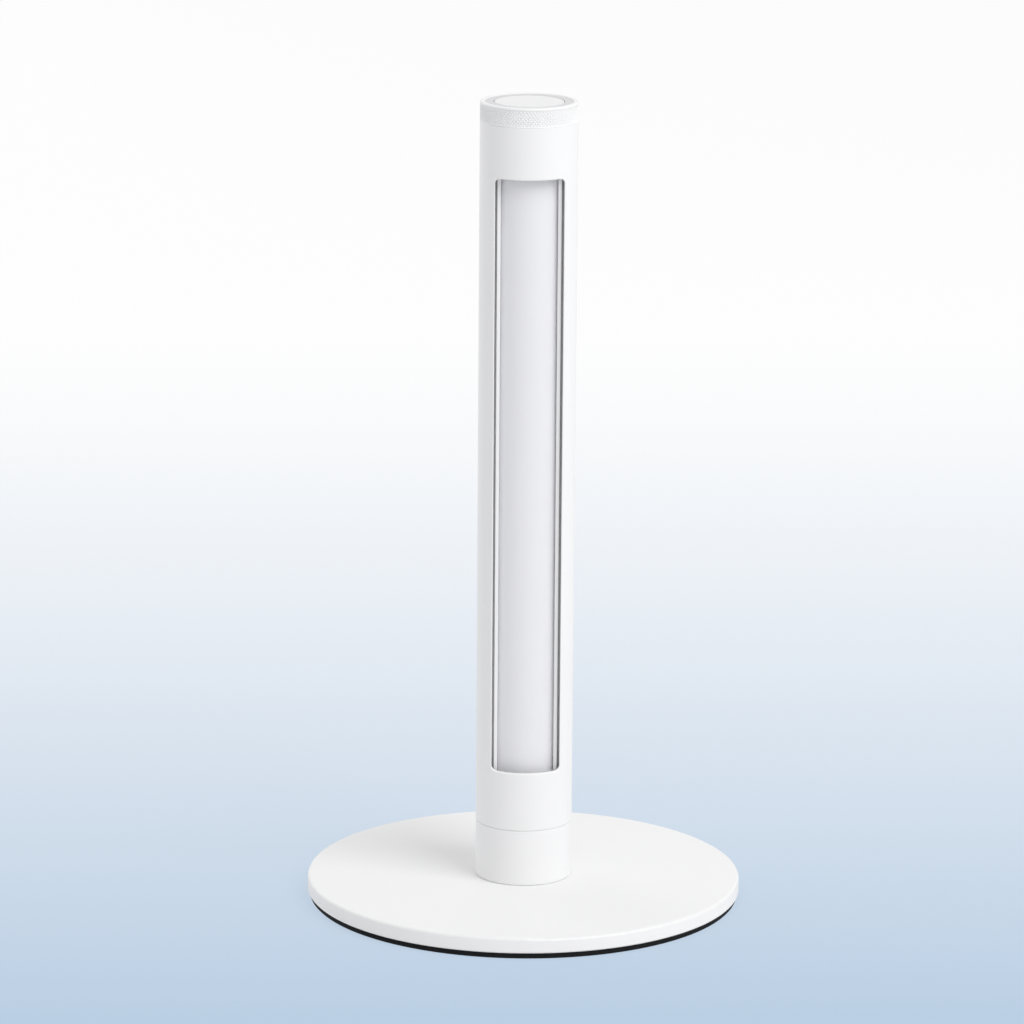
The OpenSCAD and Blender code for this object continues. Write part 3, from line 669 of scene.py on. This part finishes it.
def sleeve_mesh(sizes):
    """Tube with a tall window, its edges rounded and its inside white."""
    coat, lining = 0, 1
    window_steps = 4
    end_steps = 3
    outer_r = SLEEVE_HIGH.x
    inner_r = outer_r - sizes.wall
    bottom, top = SLEEVE_LOW.z, SLEEVE_HIGH.z
    skin = SleeveSkin(sizes)
    work = bmesh.new()
    foot, head = sizes.foot_edge, sizes.head_edge
    outer, outer_foot, outer_head = skin.build(work, outer_r, sizes.edge, bottom + foot, top - head, coat)
    inner, inner_foot, inner_head = skin.build(work, inner_r, sizes.inner_edge, bottom, top, lining)

    loop = outer
    for turn in spread(0.0, math.pi / 2, window_steps)[1:]:
        offset = sizes.edge * (1 - math.sin(turn))
        radius = outer_r - sizes.edge * (1 - math.cos(turn))
        following = skin.window_loop(work, radius, offset)
        join_loops(work, loop, following, coat)
        loop = following
    following = skin.window_loop(work, inner_r + sizes.inner_edge, 0.0)
    join_loops(work, loop, following, coat)
    join_loops(work, following, inner, coat)

    for outside, inside, z, edge in (
            (outer_foot, inner_foot, bottom, foot), (outer_head, inner_head, top, -head)):
        ring = outside
        for turn in spread(0.0, math.pi / 2, end_steps)[1:]:
            r = outer_r - abs(edge) * (1 - math.cos(turn))
            height = z + edge * (1 - math.sin(turn))
            points = [Vector((v.co.x, v.co.y)).normalized() * r for v in outside]
            following = [work.verts.new((p.x, p.y, height)) for p in points]
            join_loops(work, ring, following, coat)
            ring = following
        join_loops(work, ring, inside, coat)
    return to_mesh(work, "window_sleeve", smooth_angle=math.radians(50))


def grip_mesh(sizes):
    """Band of small diamonds with flat tops, between two plain edges."""
    steps = 8
    half_steps = steps / 2
    outer_r = GRIP_HIGH.x
    inner_r = outer_r - sizes.wall
    columns = sizes.around * steps
    rows = sizes.rows * steps
    height = GRIP_HIGH.z - GRIP_LOW.z

    def relief(i, j):
        """Share of the knurl's depth at a grid point: 1 on a diamond's top, 0 in a groove."""
        u, v = i / steps, j / steps
        away = min(abs((u + v) % 1 - 0.5), abs((u - v) % 1 - 0.5))
        from_edge = min(j, rows - j) / half_steps
        return max(min(1.0, 2 * away * sizes.steepness), 1.0 - from_edge)

    work = bmesh.new()
    rings = []
    for j in range(rows + 1):
        z = GRIP_LOW.z + height * j / rows
        ring = []
        for i in range(columns):
            turn = 2 * math.pi * i / columns
            r = outer_r - sizes.depth * (1 - relief(i, j))
            ring.append(work.verts.new((r * math.cos(turn), r * math.sin(turn), z)))
        rings.append(ring)
    for z in (GRIP_HIGH.z, GRIP_LOW.z):
        turns = [2 * math.pi * i / columns for i in range(columns)]
        rings.append([work.verts.new((inner_r * math.cos(t), inner_r * math.sin(t), z)) for t in turns])
    for first, second in zip(rings, rings[1:] + rings[:1]):
        join_loops(work, first, second)
    return to_mesh(work, "knurled_band", smooth_angle=math.radians(20))


def spring_mesh(sizes):
    """Coil of round wire whose ends lie flat, with domed wire ends."""
    wire_r = sizes.wire / 2
    around = 12
    per_turn = 40
    closed = 0.5
    tip_share = 0.6
    tip_reach = 0.3
    total = int(sizes.turns * per_turn)
    mean_r = SPRING_HIGH.x - wire_r
    low, high = SPRING_LOW.z + wire_r, SPRING_HIGH.z - wire_r
    work = bmesh.new()

    def centre(k):
        """Point on the wire's middle line."""
        turn = k / per_turn
        active = sizes.turns - 2 * closed
        rise = min(max(turn - closed, 0.0), active) / active
        return Vector((mean_r * math.cos(2 * math.pi * turn), mean_r * math.sin(2 * math.pi * turn),
                       low + (high - low) * rise))

    def ring(k, shrink):
        """Round section of the wire."""
        middle = centre(k)
        out = Vector((middle.x, middle.y, 0)).normalized()
        turns = [2 * math.pi * s / around for s in range(around)]
        return [work.verts.new(middle + shrink * wire_r * (out * math.cos(t) + Vector((0, 0, math.sin(t)))))
                for t in turns]

    rings = [ring(0, shrink=tip_share)]
    rings += [ring(k, shrink=1.0) for k in spread(tip_reach, total - tip_reach, total)]
    rings.append(ring(total, shrink=tip_share))
    for first, second in zip(rings, rings[1:]):
        join_loops(work, first, second)
    work.faces.new(rings[0])
    work.faces.new(rings[-1])
    return to_mesh(work, "button_coil", smooth_angle=math.radians(60))


def contacts_mesh(sizes):
    """Row of thin gilded contacts with rounded tips, on both faces of the inlet's tongue."""
    tip_steps = 6
    work = bmesh.new()
    pitch = (TONGUE_HIGH.x - TONGUE_LOW.x) / sizes.number
    reach = (TONGUE_HIGH.y - TONGUE_LOW.y) * sizes.reach
    half = sizes.width / 2
    tip = [(half * math.cos(t), half * math.sin(t)) for t in spread(0.0, math.pi, tip_steps)]
    for side in (-1, 1):
        face = TONGUE_HIGH.z if side > 0 else TONGUE_LOW.z
        for n in range(sizes.number):
            x = TONGUE_LOW.x + pitch * (n + 0.5)
            front = TONGUE_HIGH.y - half - sizes.proud
            outline = [(x + px, front + py) for px, py in tip]
            outline += [(x - half, front - reach), (x + half, front - reach)]
            inset = -side * sizes.proud
            foot = [work.verts.new((px, py, face + inset)) for px, py in outline]
            head = [work.verts.new((px, py, face - inset)) for px, py in outline]
            join_loops(work, foot, head)
            work.faces.new(foot)
            work.faces.new(head)
    return to_mesh(work, "inlet_contacts", smooth_angle=math.radians(40))


# Stage

# The spot that the soft lights face, how wide they are, and where they stand from it.
LIT_SPOT = Vector((0.0, 0.0, 0.15))
LIGHT_WIDTH = 2.1
KEY_OFFSET = Vector((1.74, -1.62, 2.29))
FILL_OFFSET = Vector((-2.05, 2.44, 0.85))
# Where along Y the floor's colour fades, and how steeply.
FADE_FRONT = -0.16
FADE_REAR = 1.14
FADE_CURVE = 1.5
# Half the floor's width, and its height, just clear of the foot pad.
FLOOR_HALF = 9.0
FLOOR_Z = -0.05 * MM
SENSOR_MILLIMETRES = 36.0


def seen_directly(tree):
    """1 for rays from the camera and for what shows in gloss or glass, else 0."""
    path = tree.nodes.new("ShaderNodeLightPath")
    seen = add_math(tree, "MAXIMUM", path.outputs["Is Camera Ray"], path.outputs["Is Glossy Ray"])
    return add_math(tree, "MAXIMUM", seen, path.outputs["Is Transmission Ray"])


def floor_material(look):
    """Pale floor that fades from blue at the front to white at the rear, and keeps a soft shadow."""
    material = bpy.data.materials.new("pale_floor")
    material.use_nodes = True
    tree = material.node_tree
    tree.nodes.clear()
    place = tree.nodes.new("ShaderNodeTexCoord")
    axes = tree.nodes.new("ShaderNodeSeparateXYZ")
    fade = tree.nodes.new("ShaderNodeMapRange")
    fade.inputs["From Min"].default_value = FADE_FRONT
    fade.inputs["From Max"].default_value = FADE_REAR
    fade.inputs["To Min"].default_value = 1.0
    fade.inputs["To Max"].default_value = 0.0
    tree.links.new(place.outputs["Object"], axes.inputs["Vector"])
    tree.links.new(axes.outputs["Y"], fade.inputs["Value"])
    curve = add_math(tree, "POWER", fade.outputs["Result"], FADE_CURVE)
    tint = add_mix(tree, curve, (*look.far, 1.0), (*look.near, 1.0))
    matte = tree.nodes.new("ShaderNodeBsdfDiffuse")
    glow = tree.nodes.new("ShaderNodeEmission")
    blend = tree.nodes.new("ShaderNodeMixShader")
    output = tree.nodes.new("ShaderNodeOutputMaterial")
    seen = seen_directly(tree)
    tree.links.new(add_mix(tree, seen, (*look.floor, 1.0), tint), matte.inputs["Color"])
    tree.links.new(tint, glow.inputs["Color"])
    level = add_math(tree, "MULTIPLY", seen, 1.0 - look.shadow)
    tree.links.new(level, blend.inputs["Fac"])
    tree.links.new(matte.outputs["BSDF"], blend.inputs[1])
    tree.links.new(glow.outputs["Emission"], blend.inputs[2])
    tree.links.new(blend.outputs["Shader"], output.inputs["Surface"])
    return material


def add_floor(look):
    """Wide floor just under the foot pad."""
    mesh = bpy.data.meshes.new("floor")
    signs = ((-1, -1), (1, -1), (1, 1), (-1, 1))
    corners = [(FLOOR_HALF * x, FLOOR_HALF * y, FLOOR_Z) for x, y in signs]
    mesh.from_pydata(corners, [], [(0, 1, 2, 3)])
    mesh.materials.append(floor_material(look))
    floor = bpy.data.objects.new("floor", mesh)
    bpy.context.scene.collection.objects.link(floor)


def add_world(scene, look):
    """Even light from all around, seen as plain white."""
    world = bpy.data.worlds.new("studio")
    scene.world = world
    world.use_nodes = True
    tree = world.node_tree
    background = next(node for node in tree.nodes if node.type == "BACKGROUND")
    background.inputs["Color"].default_value = (1.0, 1.0, 1.0, 1.0)
    white = add_math(tree, "MULTIPLY", seen_directly(tree), 1.0 - look.sky)
    tree.links.new(add_math(tree, "ADD", white, look.sky), background.inputs["Strength"])


def add_soft_light(name, watts, offset):
    """Large square light at the given offset from the lit spot, turned to face it."""
    lamp = bpy.data.lights.new(name, "AREA")
    lamp.shape = "SQUARE"
    lamp.size = LIGHT_WIDTH
    lamp.energy = watts
    light = bpy.data.objects.new(name, lamp)
    bpy.context.scene.collection.objects.link(light)
    light.location = LIT_SPOT + offset
    light.rotation_euler = (-offset).to_track_quat("-Z", "Y").to_euler()


def add_camera(look):
    """Camera at the photographed angle."""
    lens = bpy.data.cameras.new("camera")
    lens.lens = look.lens
    lens.sensor_width = SENSOR_MILLIMETRES
    camera = bpy.data.objects.new("camera", lens)
    bpy.context.scene.collection.objects.link(camera)
    place = Matrix.Translation((-look.aside, -look.distance, look.height))
    tilt = Matrix.Rotation(math.pi / 2 - look.pitch, 4, "X")
    around = Matrix.Rotation(-look.around, 4, "Z")
    camera.matrix_world = around @ place @ tilt @ Matrix.Rotation(look.roll, 4, "Z")
    return camera


# Operators


class LAMP_OT_finish_frame(bpy.types.Operator):
    """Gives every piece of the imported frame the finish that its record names"""
    bl_idname = "lamp.finish_frame"
    bl_label = "Finish the Frame"

    def execute(self, context):
        slots = {part["node"]: part["material_slot"] for part in frame["record"]["subparts"]}
        for node, item in frame["nodes"].items():
            if slots.get(node) not in FINISHES:
                raise RuntimeError("no finish for node " + node)
            for place in item.material_slots:
                place.material = finish(slots[node])
        return {"FINISHED"}


class LAMP_OT_window_sleeve(bpy.types.Operator):
    """Builds the turning tube with its rounded window edge and white inside"""
    bl_idname = "lamp.window_sleeve"
    bl_label = "Window Sleeve"

    def execute(self, context):
        mesh = sleeve_mesh(settings("sleeve"))
        piece = add_piece(
            "window_sleeve", mesh, "sleeve", "white_coat", ["sleeve"], "white_coat", "white_lining")
        keep_flat_areas(piece)
        return {"FINISHED"}


class LAMP_OT_knurled_band(bpy.types.Operator):
    """Builds the knurled band under the rim"""
    bl_idname = "lamp.knurled_band"
    bl_label = "Knurled Band"

    def execute(self, context):
        mesh = grip_mesh(settings("grip"))
        add_piece("knurled_band", mesh, "sleeve", "white_coat", ["grip_ring"], "white_coat")
        return {"FINISHED"}


class LAMP_OT_button_coil(bpy.types.Operator):
    """Builds the coil under the button, as it stands at rest"""
    bl_idname = "lamp.button_coil"
    bl_label = "Button Coil"

    def execute(self, context):
        sizes = settings("spring")
        piece = add_piece("button_coil", spring_mesh(sizes), "sleeve", "steel", ["button_spring"], "steel")
        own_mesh(piece)
        return {"FINISHED"}


class LAMP_OT_inlet_contacts(bpy.types.Operator):
    """Builds the gilded contacts on the tongue of the power inlet"""
    bl_idname = "lamp.inlet_contacts"
    bl_label = "Inlet Contacts"

    def execute(self, context):
        add_piece("inlet_contacts", contacts_mesh(settings("contacts")), "base", "steel", [], "gold")
        return {"FINISHED"}


class LAMP_OT_stage(bpy.types.Operator):
    """Sets up the floor, the light from all around, the two soft lights and the camera"""
    bl_idname = "lamp.stage"
    bl_label = "Stage"

    def execute(self, context):
        look = settings("stage")
        context.scene.view_settings.view_transform = "Standard"
        add_floor(look)
        add_world(context.scene, look)
        add_soft_light("key", look.key, KEY_OFFSET)
        add_soft_light("fill", look.fill, FILL_OFFSET)
        context.scene.camera = add_camera(look)
        return {"FINISHED"}


# Sidebar


class LAMP_PT_sidebar(bpy.types.Panel):
    """Steps and sizes of the lamp"""
    bl_label = "Window Sleeve Lamp"
    bl_space_type = "VIEW_3D"
    bl_region_type = "UI"
    bl_category = "Lamp"

    def draw(self, context):
        for operator in OPERATORS:
            self.layout.operator(operator.bl_idname)
        for name, group in SETTINGS.items():
            box = self.layout.box()
            box.label(text=name.title())
            for label in group.__annotations__:
                box.prop(settings(name), label)


SETTINGS = {
    "sleeve": SleeveSettings,
    "grip": GripSettings,
    "spring": SpringSettings,
    "contacts": ContactSettings,
    "finish": FinishSettings,
    "stage": StageSettings,
}
OPERATORS = (
    LAMP_OT_finish_frame,
    LAMP_OT_window_sleeve,
    LAMP_OT_knurled_band,
    LAMP_OT_button_coil,
    LAMP_OT_inlet_contacts,
    LAMP_OT_stage,
)
CLASSES = (*SETTINGS.values(), *OPERATORS, LAMP_PT_sidebar)


def register():
    """Adds the classes and the scene's settings."""
    for item in CLASSES:
        bpy.utils.register_class(item)
    for name, group in SETTINGS.items():
        setattr(bpy.types.Scene, PREFIX + name, bpy.props.PointerProperty(type=group))


def unregister():
    """Removes the scene's settings and the classes."""
    for name in SETTINGS:
        delattr(bpy.types.Scene, PREFIX + name)
    for item in reversed(CLASSES):
        bpy.utils.unregister_class(item)


def main():
    """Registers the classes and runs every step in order."""
    register()
    bpy.ops.lamp.finish_frame()
    bpy.ops.lamp.window_sleeve()
    bpy.ops.lamp.knurled_band()
    bpy.ops.lamp.button_coil()
    bpy.ops.lamp.inlet_contacts()
    bpy.ops.lamp.stage()


if __name__ == "__main__":
    main()
